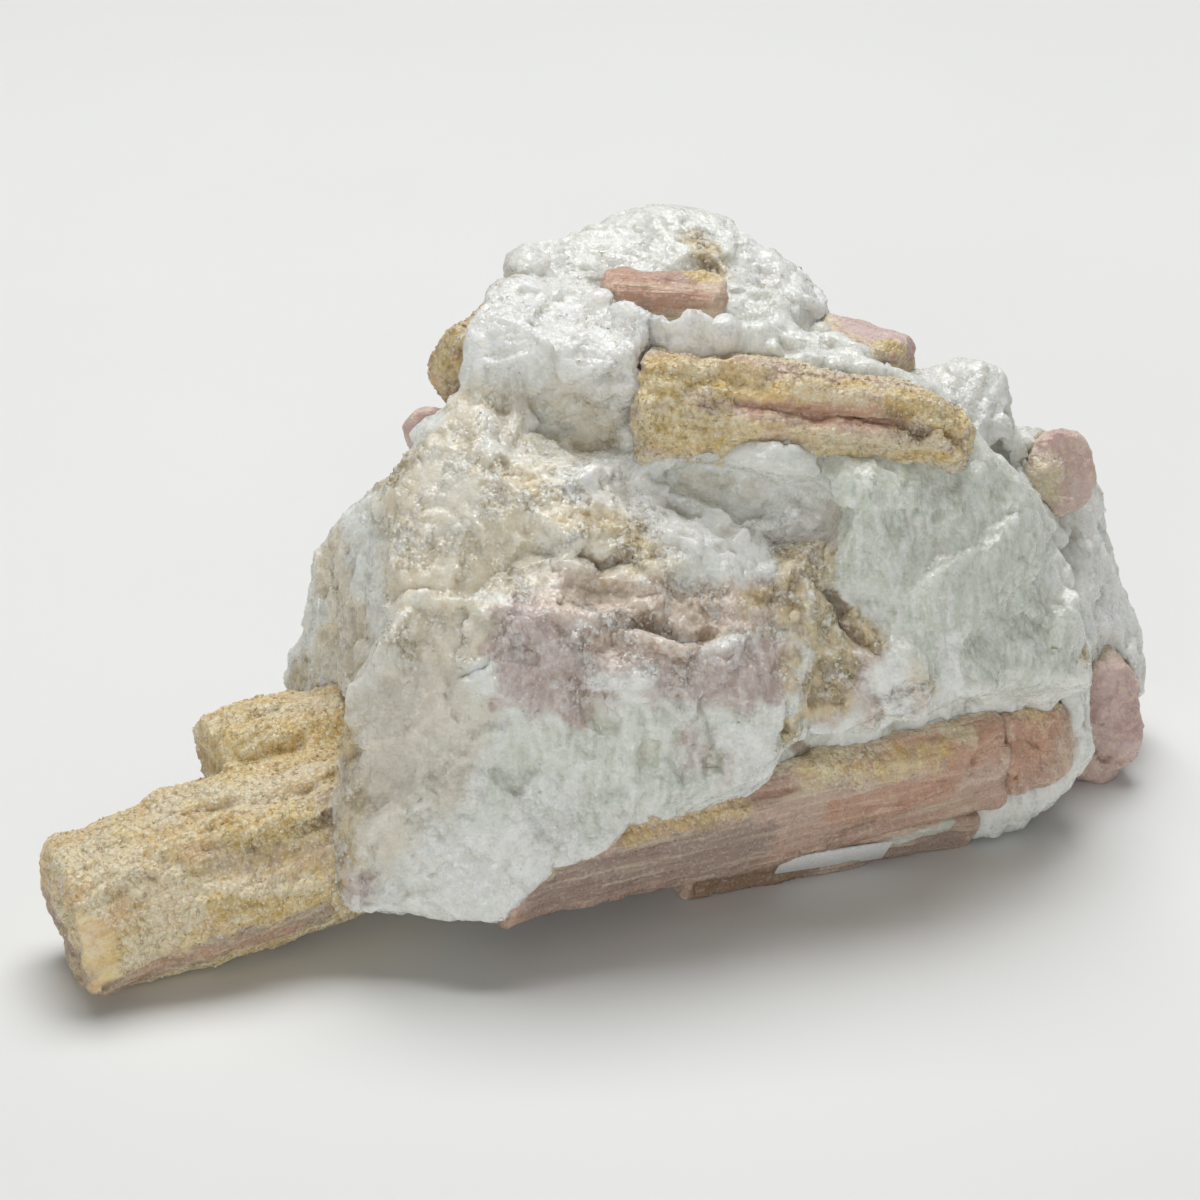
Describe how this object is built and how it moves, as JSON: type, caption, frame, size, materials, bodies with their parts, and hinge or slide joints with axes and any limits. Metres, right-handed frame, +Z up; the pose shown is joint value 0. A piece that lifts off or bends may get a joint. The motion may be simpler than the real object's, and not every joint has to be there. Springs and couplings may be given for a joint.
{
  "type": "rubellite in quartz specimen",
  "caption": "Broken lump of massive quartz with pink tourmaline prisms grown through it, standing on its flat underside.",
  "frame": {"origin": "on the ground, under the middle of the whole specimen", "axes": "+Z up, +X along the longest side towards the dark pink right end, +Y to the back"},
  "size_m": [0.1412, 0.0946, 0.0748],
  "materials": {
    "quartz": "milky massive quartz, greenish white to cream, rough broken surface",
    "ochre_crust": "granular ochre crust over striated tourmaline",
    "rubellite": "pink-brown tourmaline, striated, satin",
    "raspberry_rubellite": "darker pink tourmaline, striated, satin",
    "brown_crust": "brown crusted tourmaline, rough",
    "paper": "blank white sticker, matt"
  },
  "bodies": {
    "root": {"quartz_matrix": "quartz", "left_crystals": "ochre_crust", "front_crystal": "rubellite", "front_crystal_end": "rubellite", "underside_crystal": "rubellite", "right_end_crystal": "raspberry_rubellite", "ledge_crystal": "ochre_crust", "saddle_crystal": "rubellite", "ridge_crystal": "raspberry_rubellite", "right_upper_crystal": "raspberry_rubellite", "upper_left_crystal": "brown_crust", "left_edge_crystal": "rubellite", "paper_label": "paper"}
  },
  "joints": []
}
